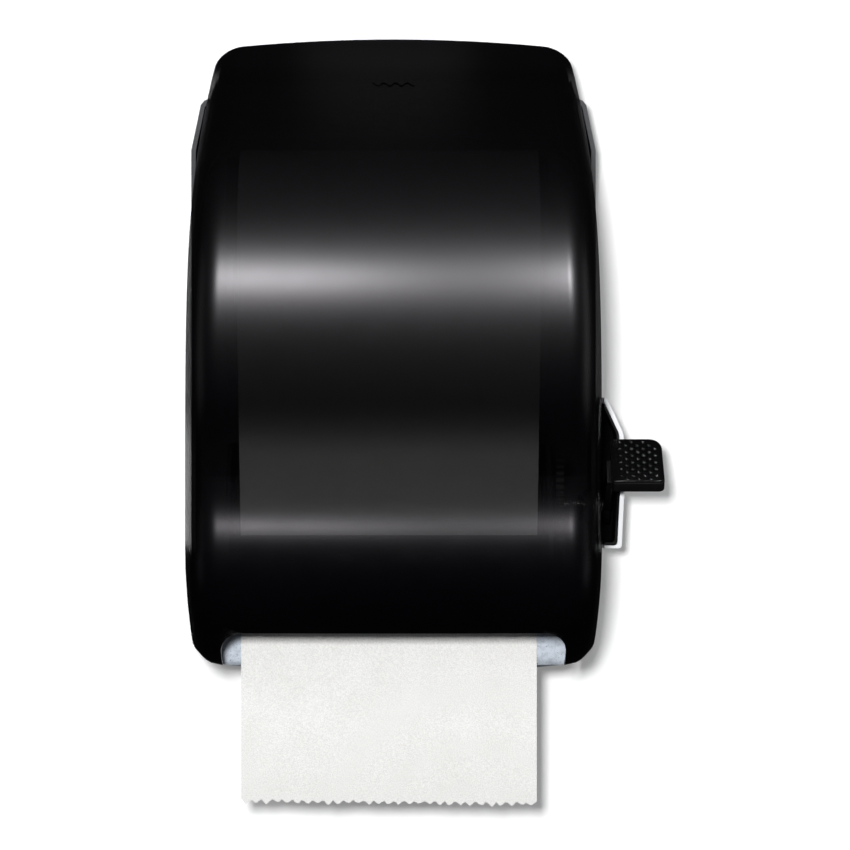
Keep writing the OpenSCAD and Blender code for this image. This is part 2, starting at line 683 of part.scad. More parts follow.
module latch_bracket() color("gainsboro") for (side = [-1, 1]) difference() {
    slab_x(side * 15 - 1.5, side * 15 + 1.5, rounded([[plate_t, latch_pivot_h - 12], [latch_pivot_d + 6, latch_pivot_h - 6],
        [latch_pivot_d + 6, latch_pivot_h + 6], [plate_t, latch_pivot_h + 10]], [0, 5, 5, 0]));
    rod(latch_pin_r, side * 15 - 3, side * 15 + 3, latch_pivot_d, latch_pivot_h);
}

module latch_pin() color("silver") rod(latch_pin_r, -17.5, 17.5, latch_pivot_d, latch_pivot_h);

module latch_spring() color("silver") ring(latch_pin_r + 2, latch_pin_r + 0.4, -12.5, -8.5, latch_pivot_d, latch_pivot_h);

module latch_lever() color("dimgray") difference() {
    union() {
        slab_x(-8, 12, rounded([[latch_pivot_d - 5, latch_pivot_h - 5], [latch_pivot_d + 40, latch_pivot_h - 2],
            [latch_pivot_d + 41, latch_pivot_h + 7], [latch_pivot_d + 19, latch_pivot_h + 5],
            [latch_pivot_d + 18, latch_pivot_h + 12.4], [latch_pivot_d + 14, latch_pivot_h + 12.4],
            [latch_pivot_d + 12, latch_pivot_h + 5], [latch_pivot_d - 5, latch_pivot_h + 5]], [4, 2, 2, 2, 0.8, 0.8, 2, 4], 3));
        slab_x(-12, 12, rounded([[latch_pivot_d + 33, latch_pivot_h - 2], [latch_pivot_d + 41, latch_pivot_h - 2],
            [latch_pivot_d + 41, latch_pivot_h + 7], [latch_pivot_d + 33, latch_pivot_h + 7]], 1, 3));
    }
    rod(latch_pin_r + running, -20, 20, latch_pivot_d, latch_pivot_h);
}

module hinge_pins() color("silver") for (side = [-1, 1])
    rod(hinge_pin_r, side * 127 - 6, side * 127 + 6, hinge_d, hinge_h);

// ---- towel ----

function cross_tangent(c1, r1, c2, r2) =
    let (to = c2 - c1, a = atan2(to[1], to[0]) + acos((r1 + r2) / norm(to)), n = polar(1, a))
    [c1 + n * r1, c2 - n * r2];

web_ends = cross_tangent([roll_d, roll_h], roll_r + gap, [drive_d, drive_h], drive_r + nip_gap);

module towel_web() color("white") {
    along = unit(web_ends[1] - web_ends[0]);
    out = [-along[1], along[0]] * towel_t;
    top = web_ends[0];
    low = web_ends[1] - along * 6;
    slab_x(towel_left, towel_right, [top, low, low + out, top + out]);
}

torn_depth = 3;
torn_teeth = floor(towel_w / blade_pitch);
module towel_sheet() color("white") slab_d(towel_d - towel_t / 2, towel_d + towel_t / 2, concat(
    [[towel_right, drive_h + feed + 2], [towel_left, drive_h + feed + 2], [towel_left, torn_h + torn_depth]],
    [for (i = [0 : torn_teeth - 1]) let (x = towel_left + i * towel_w / torn_teeth, w = towel_w / torn_teeth)
        each [[x + w * 0.5, torn_h + (i % 3 == 1 ? 1 : 0)], [x + w, torn_h + torn_depth]]]));

module paper_roll() color("white") ring(roll_r, core_r, towel_left, towel_right, roll_d, roll_h);

module roll_core() color("tan") ring(core_r, core_r - core_wall, towel_left, towel_right, roll_d, roll_h);

// ---- cover ----

module key_slot() {
    steps = 32;
    along = [for (k = [0 : steps]) [(k / steps - 0.5) * slot_len, slot_wave * sin(k / steps * 360 * 4)]];
    ramp = unit(belly_start - rim_top);
    slot_h = top_h + (slot_d - rim_d) * ramp[1] / ramp[0];
    slab_d(slot_d - 14, slot_d + 10, concat(
        [for (p = along) [p[0], slot_h + p[1] + slot_w / 2]],
        [for (k = [steps : -1 : 0]) [along[k][0], slot_h + along[k][1] - slot_w / 2]]));
}

module front_cover() color("black") difference() {
    union() {
        cover_shell();
        for (side = [-1, 1]) slab_x(side * ear_x - 2, side * ear_x + 2, concat(
            arc([hinge_d, hinge_h], 7, 90, 270, 8), [[rim_d + 14, 11], [rim_d + 14, 28], [rim_d + 2, 28]]));
        for (side = [-1, 1]) block(side * 132.05 - 2.55, side * 132.05 + 2.55, rim_d + 4, rim_d + 14, 11, 28);
    }
    slab_d(towel_d - 15, belly_front_d + 25, rounded([[-window_half_w, -8], [window_half_w, -8], [window_half_w, lip[1]], [-window_half_w, lip[1]]],
        [0, 0, window_corner_r, window_corner_r], 6));
    key_slot();
    for (side = [-1, 1]) rod(hinge_pin_r + running, side * ear_x - 3, side * ear_x + 3, hinge_d, hinge_h);
}

module catch_plate() color("black") {
    ramp = unit(belly_start - rim_top);
    roof = top_h + (catch_d + 1.5 - rim_d) * ramp[1] / ramp[0] - cover_wall;
    block(-10, 10, catch_d, catch_d + 3, latch_pivot_h + 13, roof + 0.5);
}

// ---- lever ----

pad_slope = atan2(pad_rear_h - pad_front_h, pad_front_d - pad_rear_d);
pad_len = norm([pad_front_d - pad_rear_d, pad_rear_h - pad_front_h]);

module lever_arm() color("dimgray") difference() {
    union() {
        rod(12, arm_in_x, arm_out_x, lever_d, lever_h);
        slab_x(arm_in_x, arm_out_x, rounded([[lever_d - 2, lever_h + 11], [lever_d + 4, lever_h - 6],
            [pad_front_d - 12, pad_front_h], [pad_rear_d + 14, pad_rear_h - 19]], [4, 4, 3, 3]));
        // gusset between the arm and the pad's plate
        slab_x(arm_in_x, gusset_x, rounded([[pad_rear_d + 4, pad_rear_h - 14], [pad_rear_d + 12, pad_rear_h - 24],
            [pad_front_d - 10, pad_front_h - 4], [pad_rear_d + 14, pad_rear_h - 15]], [1, 3, 1, 1]));
        // the pad's plate, below its rubber face
        at(0, pad_rear_d, pad_rear_h) rotate([pad_slope, 0, 0]) translate([0, -pad_len, -pad_t])
            linear_extrude(pad_t - 1.5) polygon(rounded([[pad_in_x - 0.6, 0], [pad_out_x, 0], [pad_out_x - pad_taper, pad_len],
                [pad_in_x - 0.6, pad_len]], [3, 4, 9, 3], 6));
    }
    rod(lever_shaft_r, arm_in_x - 1, arm_out_x + 1, lever_d, lever_h);
}

module lever_pad() color("black") at(0, pad_rear_d, pad_rear_h) rotate([pad_slope, 0, 0])
    translate([0, -pad_len, -1.5]) linear_extrude(1.5)
        polygon(rounded([[pad_in_x, 1], [pad_out_x - 0.6, 1], [pad_out_x - 0.6 - pad_taper, pad_len - 1], [pad_in_x, pad_len - 1]],
            [2, 4, 9, 2], 6));

module lever_shaft() color("silver") rod(lever_shaft_r, right_frame_x - 0.5, arm_out_x, lever_d, lever_h);

module sector_gear() color("whitesmoke") {
    first = mesh_angle + 360 / sector_teeth * 2;
    count = ceil(lever_stroke / (360 / sector_teeth)) + 5;
    root = sector_r - 1.25 * gear_m;
    gear_x(gears_x, gear_w, lever_d, lever_h) difference() {
        union() {
            circle(r = 11);
            polygon(concat([[0, 0]], [for (i = [count - 1 : -1 : 0]) each
                tooth(sector_teeth, first - i * 360 / sector_teeth)]));
        }
        circle(r = lever_shaft_r);
        polygon(rounded([polar(20, first - 8), polar(root - 8, first - 5),
            polar(root - 8, first - count * 180 / sector_teeth), polar(root - 8, first - (count - 1) * 360 / sector_teeth + 5),
            polar(20, first - (count - 1) * 360 / sector_teeth + 8)], [3, 4, 40, 4, 3], 5));
    }
}

module lever_screw() color("silver") screw_x(arm_out_x, lever_d, lever_h, 1.5, 3.5, 0);

// ---- drive ----

module drive_shaft() color("silver") rod(drive_shaft_r, left_frame_x - 6, gears_x + gear_w + 12, drive_d, drive_h);

module drive_rollers() color("dimgray") for (x = [towel_x - roller_pitch, towel_x, towel_x + roller_pitch])
    ring(drive_r, drive_shaft_r, x - roller_w / 2, x + roller_w / 2, drive_d, drive_h);

module drive_pinion() color("whitesmoke") gear_x(gears_x, gear_w, drive_d, drive_h) difference() {
    polygon([for (i = [0 : pinion_teeth - 1]) each
        tooth(pinion_teeth, mesh_angle + 180 + (i + 0.5) * 360 / pinion_teeth)]);
    circle(r = drive_shaft_r);
}

module clutch_hub() color("whitesmoke") difference() {
    union() {
        rod(11, gears_x + gear_w, gears_x + gear_w + 6, drive_d, drive_h);
        rod(8, gears_x + gear_w + 6, gears_x + gear_w + 9, drive_d, drive_h);
    }
    rod(drive_shaft_r, gears_x, gears_x + gear_w + 12, drive_d, drive_h);
}

module shaft_clips() color("silver") for (x = [left_frame_x - 4.5, gears_x + gear_w + 9.5])
    ring(drive_shaft_r + 2.5, drive_shaft_r, x, x + 1, drive_d, drive_h);

module pinch_roller() color("dimgray") ring(pinch_r, 2.5, towel_left + 4, towel_right - 4, pinch_d, drive_h);

module pinch_shaft() color("silver") rod(2.5, left_frame_x - 1, right_frame_x + frame_t + 1, pinch_d, drive_h);

back_housing();
chute_nose();
paper_guide();
left_frame();
right_frame();
frame_screws();
shaft_bushes();
blade_bar();
tear_blade();
blade_screws();
roller_guard();
pinch_blocks();
pinch_springs();
lever_pocket();
lever_guard();
lever_bushes();
lever_spring();
lever_stop();
right_roll_arm();
right_hub();
left_arm_bracket();
left_arm_pin();
left_arm_spring();
latch_bracket();
latch_pin();
latch_spring();
hinge_pins();
towel_web();
front_cover();
catch_plate();
lever_arm();
lever_pad();
lever_shaft();
sector_gear();
lever_screw();
drive_shaft();
drive_rollers();
drive_pinion();
clutch_hub();
shaft_clips();
pinch_roller();
pinch_shaft();
paper_roll();
roll_core();
left_roll_arm();
left_hub();
latch_lever();
towel_sheet();
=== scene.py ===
import json
import math
import random

import bmesh
import bpy
from mathutils import Matrix, Vector

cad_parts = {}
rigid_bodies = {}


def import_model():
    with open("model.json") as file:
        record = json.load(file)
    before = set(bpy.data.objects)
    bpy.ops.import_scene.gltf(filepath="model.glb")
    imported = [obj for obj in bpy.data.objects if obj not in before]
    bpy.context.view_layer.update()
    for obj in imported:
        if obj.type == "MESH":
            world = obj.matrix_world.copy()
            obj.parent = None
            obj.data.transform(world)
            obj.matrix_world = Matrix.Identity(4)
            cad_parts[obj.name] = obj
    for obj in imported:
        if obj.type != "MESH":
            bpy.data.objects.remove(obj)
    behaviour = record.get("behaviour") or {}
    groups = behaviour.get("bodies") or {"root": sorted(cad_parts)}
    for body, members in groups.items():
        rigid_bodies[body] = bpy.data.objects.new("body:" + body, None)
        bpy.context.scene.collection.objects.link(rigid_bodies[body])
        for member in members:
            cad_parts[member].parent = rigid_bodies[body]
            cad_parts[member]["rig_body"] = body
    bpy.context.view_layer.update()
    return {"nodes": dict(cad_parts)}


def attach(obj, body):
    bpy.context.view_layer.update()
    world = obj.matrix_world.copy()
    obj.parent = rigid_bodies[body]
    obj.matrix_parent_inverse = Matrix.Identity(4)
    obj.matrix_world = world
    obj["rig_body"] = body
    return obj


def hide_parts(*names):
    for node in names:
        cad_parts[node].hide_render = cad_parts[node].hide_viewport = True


# Lever roll-towel dispenser. Places are written as in the part: x to the right, depth out from
# the wall and height above the chute's bottom, all in millimetres; spot() turns them into metres.

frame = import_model()
scene = bpy.context.scene
nodes = frame["nodes"]
baseHeight = -213.0


def spot(x, depth, height):
    return Vector((x, -depth, baseHeight + height)) * 0.001


# finishes

def newMaterial(name):
    material = bpy.data.materials.new(name)
    material.use_nodes = True
    tree = material.node_tree
    shader = tree.nodes["Principled BSDF"]
    place = tree.nodes.new("ShaderNodeTexCoord")
    return material, tree, shader, place


def noiseNode(tree, place, scale, detail=3.0, roughness=0.55, stretch=(1, 1, 1)):
    mapping = tree.nodes.new("ShaderNodeMapping")
    mapping.inputs["Scale"].default_value = stretch
    tree.links.new(place.outputs["Object"], mapping.inputs["Vector"])
    noise = tree.nodes.new("ShaderNodeTexNoise")
    noise.inputs["Scale"].default_value = scale
    noise.inputs["Detail"].default_value = detail
    noise.inputs["Roughness"].default_value = roughness
    tree.links.new(mapping.outputs["Vector"], noise.inputs["Vector"])
    return noise


def ramp(tree, source, low, high, lowColour, highColour):
    node = tree.nodes.new("ShaderNodeValToRGB")
    first, last = node.color_ramp.elements
    first.position, last.position = low, high
    first.color, last.color = (*lowColour, 1), (*highColour, 1)
    tree.links.new(source, node.inputs["Fac"])
    return node


def spread(tree, source, low, high):
    node = tree.nodes.new("ShaderNodeMapRange")
    node.inputs["From Min"].default_value = 0.3
    node.inputs["From Max"].default_value = 0.7
    node.inputs["To Min"].default_value = low
    node.inputs["To Max"].default_value = high
    tree.links.new(source, node.inputs["Value"])
    return node


def bumpNode(tree, source, depth, strength=1.0, before=None):
    node = tree.nodes.new("ShaderNodeBump")
    node.inputs["Distance"].default_value = depth
    node.inputs["Strength"].default_value = strength
    tree.links.new(source, node.inputs["Height"])
    if before:
        tree.links.new(before.outputs["Normal"], node.inputs["Normal"])
    return node


# an injection-moulded plastic: fine grain, faint mottling and uneven gloss
def plastic(name, colour, rough=0.4, mottle=0.06, grain=0.00003, grainScale=2600, level=0.5):
    material, tree, shader, place = newMaterial(name)
    cloud = noiseNode(tree, place, 22, 4)
    dark = tuple(c * (1 - mottle) for c in colour)
    tint = ramp(tree, cloud.outputs["Fac"], 0.3, 0.7, dark, colour)
    tree.links.new(tint.outputs["Color"], shader.inputs["Base Color"])
    gloss = noiseNode(tree, place, 140, 2)
    rub = spread(tree, gloss.outputs["Fac"], rough * 0.9, rough * 1.12)
    tree.links.new(rub.outputs["Result"], shader.inputs["Roughness"])
    fine = noiseNode(tree, place, grainScale, 2)
    skin = bumpNode(tree, fine.outputs["Fac"], grain, 0.6)
    tree.links.new(skin.outputs["Normal"], shader.inputs["Normal"])
    shader.inputs["Specular IOR Level"].default_value = level
    return material


# recycled plastic with darker specks
def speckledPlastic(name, colour, speck, amount=0.62, rough=0.5):
    material = plastic(name, colour, rough, 0.05)
    tree = material.node_tree
    shader = tree.nodes["Principled BSDF"]
    place = tree.nodes["Texture Coordinate"]
    base = shader.inputs["Base Color"].links[0].from_socket
    dots = noiseNode(tree, place, 900, 3, 0.7)
    patch = noiseNode(tree, place, 260, 2, 0.6)
    mask = ramp(tree, dots.outputs["Fac"], amount, amount + 0.05, (0, 0, 0), (1, 1, 1))
    haze = ramp(tree, patch.outputs["Fac"], 0.45, 0.75, (0, 0, 0), (0.35, 0.35, 0.35))
    both = tree.nodes.new("ShaderNodeMath")
    both.operation = "MAXIMUM"
    tree.links.new(mask.outputs["Color"], both.inputs[0])
    tree.links.new(haze.outputs["Color"], both.inputs[1])
    mix = tree.nodes.new("ShaderNodeMix")
    mix.data_type = "RGBA"
    # the colour sockets of a Mix node are inputs 6 and 7 and output 2
    mix.inputs[7].default_value = (*speck, 1)
    tree.links.new(both.outputs["Value"], mix.inputs["Factor"])
    tree.links.new(base, mix.inputs[6])
    tree.links.new(mix.outputs[2], shader.inputs["Base Color"])
    return material


def steel(name, colour, rough, stretch, scale=60):
    material, tree, shader, place = newMaterial(name)
    brushed = noiseNode(tree, place, scale, 4, 0.6, stretch)
    dark = tuple(c * 0.82 for c in colour)
    tint = ramp(tree, brushed.outputs["Fac"], 0.3, 0.7, dark, colour)
    tree.links.new(tint.outputs["Color"], shader.inputs["Base Color"])
    rub = spread(tree, brushed.outputs["Fac"], rough * 0.8, rough * 1.25)
    tree.links.new(rub.outputs["Result"], shader.inputs["Roughness"])
    skin = bumpNode(tree, brushed.outputs["Fac"], 0.00002, 0.5)
    tree.links.new(skin.outputs["Normal"], shader.inputs["Normal"])
    shader.inputs["Metallic"].default_value = 1.0
    return material


def rubber(name, colour, rough=0.7):
    return plastic(name, colour, rough, 0.25, 0.00005, 1500, 0.35)


# soft towel paper: warm white, fine embossed grain and a few fibres, with painted shade that makes it darker
# towards the bottom
def towelPaper(name, settings):
    material, tree, shader, place = newMaterial(name)
    cloud = noiseNode(tree, place, 35, 3)
    tint = ramp(tree, cloud.outputs["Fac"], 0.3, 0.7, settings["shade"], settings["colour"])
    grain = noiseNode(tree, place, settings["grainScale"], 2, 0.7)
    speckle = ramp(tree, grain.outputs["Fac"], 0.35, 0.65, settings["fleck"], (1, 1, 1))
    parts = tree.nodes.new("ShaderNodeSeparateXYZ")
    tree.links.new(place.outputs["Object"], parts.inputs["Vector"])
    # painted shade: the colour darkens towards the sheet's bottom edge, between two given heights
    low = tree.nodes.new("ShaderNodeMapRange")
    low.inputs["From Min"].default_value = settings["paintedShadeLow"]
    low.inputs["From Max"].default_value = settings["paintedShadeHigh"]
    tree.links.new(parts.outputs["Z"], low.inputs["Value"])
    paintedShade = ramp(tree, low.outputs["Result"], 0, 1, settings["paintedShade"], (1, 1, 1))
    colour = tint.outputs["Color"]
    for other in (speckle, paintedShade):
        mix = tree.nodes.new("ShaderNodeMix")
        mix.data_type, mix.blend_type = "RGBA", "MULTIPLY"
        mix.inputs["Factor"].default_value = 1
        tree.links.new(colour, mix.inputs[6])
        tree.links.new(other.outputs["Color"], mix.inputs[7])
        colour = mix.outputs[2]
    tree.links.new(colour, shader.inputs["Base Color"])
    shader.inputs["Roughness"].default_value = 0.95
    shader.inputs["Specular IOR Level"].default_value = 0.15
    crepe = noiseNode(tree, place, 260, 3, 0.6, settings["crepe"])
    pits = tree.nodes.new("ShaderNodeTexVoronoi")
    pits.inputs["Scale"].default_value = settings["pitScale"]
    tree.links.new(place.outputs["Object"], pits.inputs["Vector"])
    first = bumpNode(tree, crepe.outputs["Fac"], settings["crepeDepth"], 0.8)
    second = bumpNode(tree, pits.outputs["Distance"], settings["pitDepth"], 0.7, first)
    tree.links.new(second.outputs["Normal"], shader.inputs["Normal"])
    return material


def cardboard(name, colour):
    material, tree, shader, place = newMaterial(name)
    fibres = noiseNode(tree, place, 90, 5, 0.6, (6, 1, 1))
    dark = tuple(c * 0.75 for c in colour)
    tint = ramp(tree, fibres.outputs["Fac"], 0.3, 0.7, dark, colour)
    tree.links.new(tint.outputs["Color"], shader.inputs["Base Color"])
    shader.inputs["Roughness"].default_value = 0.85
    skin = bumpNode(tree, fibres.outputs["Fac"], 0.00008, 0.6)
    tree.links.new(skin.outputs["Normal"], shader.inputs["Normal"])
    return material


# smoked black cover: satin skin that lets a little light through
def smokedPlastic(name, settings):
    material, tree, shader, place = newMaterial(name)
    cloud = noiseNode(tree, place, 18, 4)
    tint = ramp(tree, cloud.outputs["Fac"], 0.3, 0.7, settings["deep"], settings["colour"])
    tree.links.new(tint.outputs["Color"], shader.inputs["Base Color"])
    gloss = noiseNode(tree, place, 60, 3)
    rub = spread(tree, gloss.outputs["Fac"], settings["rough"] * 0.96, settings["rough"] * 1.05)
    tree.links.new(rub.outputs["Result"], shader.inputs["Roughness"])
    fine = noiseNode(tree, place, 1500, 2, 0.6)
    skin = bumpNode(tree, fine.outputs["Fac"], settings["grain"], 0.5)
    tree.links.new(skin.outputs["Normal"], shader.inputs["Normal"])
    shader.inputs["Specular IOR Level"].default_value = settings["level"]
    shader.inputs["Specular Tint"].default_value = (*settings["sheen"], 1)
    # the belly is more polished than the bulge below it
    parts = tree.nodes.new("ShaderNodeSeparateXYZ")
    tree.links.new(place.outputs["Object"], parts.inputs["Vector"])
    polish = tree.nodes.new("ShaderNodeMapRange")
    polish.interpolation_type = "SMOOTHSTEP"
    polish.inputs["From Min"].default_value = settings["coatLow"]
    polish.inputs["From Max"].default_value = settings["coatHigh"]
    polish.inputs["To Min"].default_value = settings["coatLeast"]
    polish.inputs["To Max"].default_value = settings["coatMost"]
    tree.links.new(parts.outputs["Z"], polish.inputs["Value"])
    tree.links.new(polish.outputs["Result"], shader.inputs["Coat Weight"])
    # it hides most at its foot and its top edge, and least a little above the bulge
    level = tree.nodes.new("ShaderNodeMapRange")
    level.inputs["From Min"].default_value = settings["alphaLow"]
    level.inputs["From Max"].default_value = settings["alphaHigh"]
    tree.links.new(parts.outputs["Z"], level.inputs["Value"])
    dense = tree.nodes.new("ShaderNodeValToRGB")
    dense.color_ramp.interpolation = "EASE"
    stops = dense.color_ramp.elements
    for where, value in settings["alpha"][1:-1]:
        stops.new(where)
    for stop, (where, value) in zip(stops, settings["alpha"]):
        stop.position, stop.color = where, (value, value, value, 1)
    tree.links.new(level.outputs["Result"], dense.inputs["Fac"])
    tree.links.new(dense.outputs["Color"], shader.inputs["Alpha"])
    tree.links.new(skin.outputs["Normal"], shader.inputs["Coat Normal"])
    shader.inputs["Coat Roughness"].default_value = settings["rough"]
    shader.inputs["Coat Tint"].default_value = (*settings["sheen"], 1)
    return material


smokeSettings = {"colour": (0.0009, 0.0007, 0.0012), "deep": (0.0006, 0.0005, 0.0009), "rough": 0.32,
                 "grain": 0.00004, "alphaLow": -0.16, "alphaHigh": 0.22,
                 "alpha": [(0.0, 0.97), (0.055, 0.97), (0.089, 0.57), (0.232, 0.57), (0.342, 0.75),
                           (0.90, 0.75), (0.94, 0.99), (1.0, 0.99)],
                 "level": 0.22, "sheen": (0.97, 0.93, 1.0),
                 "coatLow": -0.075, "coatHigh": 0.0, "coatLeast": 0.0, "coatMost": 0.85}
# painted shade: the sheet's colour darkens towards its bottom between the two heights given below
paperSettings = {"colour": (0.88, 0.875, 0.86), "shade": (0.84, 0.835, 0.815), "grainScale": 1500,
                 "fleck": (0.80, 0.80, 0.80), "paintedShadeLow": -0.304, "paintedShadeHigh": -0.215, "paintedShade": (0.88, 0.88, 0.875),
                 "crepe": (1, 1, 2.4), "crepeDepth": 0.00022, "pitScale": 620, "pitDepth": 0.00012}
# the roll is painted a little darker, cooler and more purple than the sheet, standing in for the shade and the
# purple light it gets through the smoked cover; its grain runs alike in all directions
rollSettings = {**paperSettings, "crepe": (1, 1, 1), "colour": (0.80, 0.785, 0.83),
                "shade": (0.76, 0.745, 0.785)}

smoke = smokedPlastic("smokedCover", smokeSettings)
towelWhite = towelPaper("towelPaper", paperSettings)
rollWhite = towelPaper("rollPaper", rollSettings)
greyPlastic = speckledPlastic("speckledGrey", (0.62, 0.68, 0.76), (0.10, 0.11, 0.14))
# painted shade: the back housing is near black, standing in for the shade inside the cover
chassisPaintedShade = speckledPlastic("chassisPaintedShade", (0.04, 0.042, 0.046), (0.018, 0.018, 0.02))
# painted shade: the frames, roll arms and brackets are near black, standing in for the shade inside the cover
framePaintedShade = plastic("framePaintedShade", (0.03, 0.031, 0.034), 0.45)
pocketWhite = plastic("pocketWhite", (0.84, 0.85, 0.87), 0.45)
acetalBlack = plastic("blackAcetal", (0.03, 0.03, 0.032), 0.4)
paleGrey = plastic("paleGrey", (0.58, 0.60, 0.62), 0.45)
blackPlastic = plastic("blackPlastic", (0.004, 0.004, 0.0045), 0.5, 0.2, level=0.25)
padBlack = plastic("padRubber", (0.0035, 0.0035, 0.0038), 0.2, 0.25, 0.00001, 1500, 0.9)
rollerBlack = rubber("rollerRubber", (0.035, 0.035, 0.037))
nylon = plastic("whiteNylon", (0.74, 0.73, 0.68), 0.42, 0.05)
steelAcross = steel("drawnSteel", (0.62, 0.62, 0.63), 0.3, (0.15, 1, 1), 300)
steelPlate = steel("rolledSteel", (0.6, 0.6, 0.61), 0.32, (0.08, 1, 1), 120)
springSteel = steel("springSteel", (0.5, 0.5, 0.52), 0.3, (1, 1, 1), 500)
coreBoard = cardboard("coreBoard", (0.36, 0.26, 0.16))
print("materials made:", len(bpy.data.materials))


# what several pieces are made with

def newPiece(name, bm, material, body, stands=(), angle=30):
    mesh = bpy.data.meshes.new(name)
    bm.to_mesh(mesh)
    bm.free()
    mesh.materials.append(material)
    for face in mesh.polygons:
        face.use_smooth = True
    mesh.set_sharp_from_angle(angle=math.radians(angle))
    piece = bpy.data.objects.new(name, mesh)
    scene.collection.objects.link(piece)
    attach(piece, body)
    if stands:
        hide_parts(*stands)
    return piece


def bevelSharp(bm, width, segments=2, least=28):
    sharp = [e for e in bm.edges if len(e.link_faces) == 2 and e.calc_face_angle(0) > math.radians(least)]
    if sharp:
        bmesh.ops.bevel(bm, geom=sharp, offset=width, offset_type="OFFSET", affect="EDGES", segments=segments,
                        profile=0.5, clamp_overlap=True, material=-1)


# a CAD node again, with its edges eased as a mould leaves them
def eased(node, material, width, segments=2):
    bm = bmesh.new()
    bm.from_mesh(nodes[node].data)
    bmesh.ops.remove_doubles(bm, verts=bm.verts, dist=2e-6)
    bmesh.ops.dissolve_limit(bm, angle_limit=math.radians(0.6), verts=bm.verts, edges=bm.edges)
    bevelSharp(bm, width * 0.001, segments)
    return newPiece(node + "Eased", bm, material, nodes[node]["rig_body"], [node])


def extruded(bm, points, move):
    face = bm.faces.new([bm.verts.new(p) for p in points])
    made = bmesh.ops.extrude_face_region(bm, geom=[face])
    verts = [g for g in made["geom"] if isinstance(g, bmesh.types.BMVert)]
    bmesh.ops.translate(bm, verts=verts, vec=move)


# wire wound into a coil along a direction
def coil(name, centre, along, radius, wire, length, turns, body, stands):
    along = along.normalized()
    side = along.orthogonal().normalized()
    bm = bmesh.new()
    circle = bmesh.ops.create_circle(bm, cap_ends=False, segments=8, radius=wire)["verts"]
    turn = Matrix((side, along, side.cross(along))).transposed().to_4x4()
    start = centre - along * length / 2
    bmesh.ops.transform(bm, matrix=Matrix.Translation(start + side * radius) @ turn, verts=circle)
    steps = int(turns * 20)
    edges = list({e for v in circle for e in v.link_edges})
    bmesh.ops.spin(bm, geom=circle + edges, cent=start, axis=along, dvec=along * length / steps,
                   angle=math.tau * turns, steps=steps, use_duplicate=False)
    ring = [e for e in bm.edges if e.is_boundary]
    bmesh.ops.holes_fill(bm, edges=ring, sides=0)
    bmesh.ops.recalc_face_normals(bm, faces=bm.faces)
    return newPiece(name, bm, springSteel, body, stands, 60)


# smoked front cover, with the same named sizes as in the part

coverShape = {
    "rimDepth": 62.0, "topHeight": 425.7, "halfWidth": 142.2, "widest": 80.0, "topDraw": 18.4,
    "bottomDraw": 7.5, "shoulder": 397.8, "draft": 10.0, "cornerRadius": 20.0, "crown": 7.0,
    "footRadius": 11.5, "footLow": 4.0, "wall": 2.8,
    "bellyRadius": 147.0, "bellyFront": 235.0, "bellyHeight": 225.0,
    "bulgeRadius": 69.0, "bulgeFront": 223.0, "bulgeHeight": 79.0,
    "lipSlope": 47.5, "footDepth": 157.0, "rampLow": 300.0, "windowHalfWidth": 113.3,
    "windowCorner": 14.0, "windowBack": 100.0, "windowFront": 270.0,
    "slotLength": 28.5, "slotWidth": 1.4, "slotWave": 1.1, "slotDepth": 109.1, "slotWaves": 3.63,
    "slotSteps": 56, "slotBehind": 14, "slotReach": 24, "edge": 0.45,
}

# ears that carry the cover on its hinge pins
earShape = {"depth": 45.0, "height": 18.0, "radius": 7, "x": 130.5, "thick": 4, "tabX": 129.5, "tabWide": 5.1,
            "front": 76, "back": 64, "tabBack": 66, "low": 11, "high": 28, "edge": 0.4}


def polar(radius, degrees):
    return Vector((math.cos(math.radians(degrees)), math.sin(math.radians(degrees)))) * radius


def arcPoints(centre, radius, first, last, steps):
    return [centre + polar(radius, first + (last - first) * k / steps) for k in range(steps + 1)]


def slopeOf(v):
    return math.degrees(math.atan2(v.y, v.x))


def coverOutline(c):
    belly = Vector((c["bellyFront"] - c["bellyRadius"], c["bellyHeight"]))
    bulge = Vector((c["bulgeFront"] - c["bulgeRadius"], c["bulgeHeight"]))
    # the two arcs meet in a sharp valley at the waist
    span = (bulge - belly).length
    along = (c["bellyRadius"] ** 2 - c["bulgeRadius"] ** 2 + span ** 2) / (2 * span)
    u = (bulge - belly) / span
    waist = belly + u * along + Vector((-u.y, u.x)) * math.sqrt(c["bellyRadius"] ** 2 - along ** 2)
    bellyEnd, bulgeStart = slopeOf(waist - belly), slopeOf(waist - bulge)
    rimTop = Vector((c["rimDepth"], c["topHeight"]))
    toRim = rimTop - belly
    rampAngle = slopeOf(toRim) - math.degrees(math.acos(c["bellyRadius"] / toRim.length))
    bellyStart = belly + polar(c["bellyRadius"], rampAngle)
    lip = bulge + polar(c["bulgeRadius"], -c["lipSlope"])
    footEnd = Vector((c["footDepth"], c["footLow"]))
    points = [rimTop.lerp(bellyStart, k / 8) for k in range(8)]
    points += arcPoints(belly, c["bellyRadius"], rampAngle, bellyEnd, 26)
    points += arcPoints(bulge, c["bulgeRadius"], bulgeStart, -c["lipSlope"], 20)[1:]
    points += [lip.lerp(footEnd, t) for t in (0.2, 0.4, 0.6, 0.75, 0.86, 0.94, 1)]
    return points, lip, (bellyStart - rimTop).normalized(), rimTop


def rimHalfWidth(c, height):
    up = max(0, height - c["widest"]) / (c["shoulder"] - c["widest"])
    down = max(0, c["widest"] - height) / c["widest"]
    low = max(0, c["footRadius"] + c["footLow"] - height)
    corner = c["footRadius"] - math.sqrt(c["footRadius"] ** 2 - low ** 2)
    return c["halfWidth"] - c["topDraw"] * up ** 4.6 - c["bottomDraw"] * down ** 2 - corner


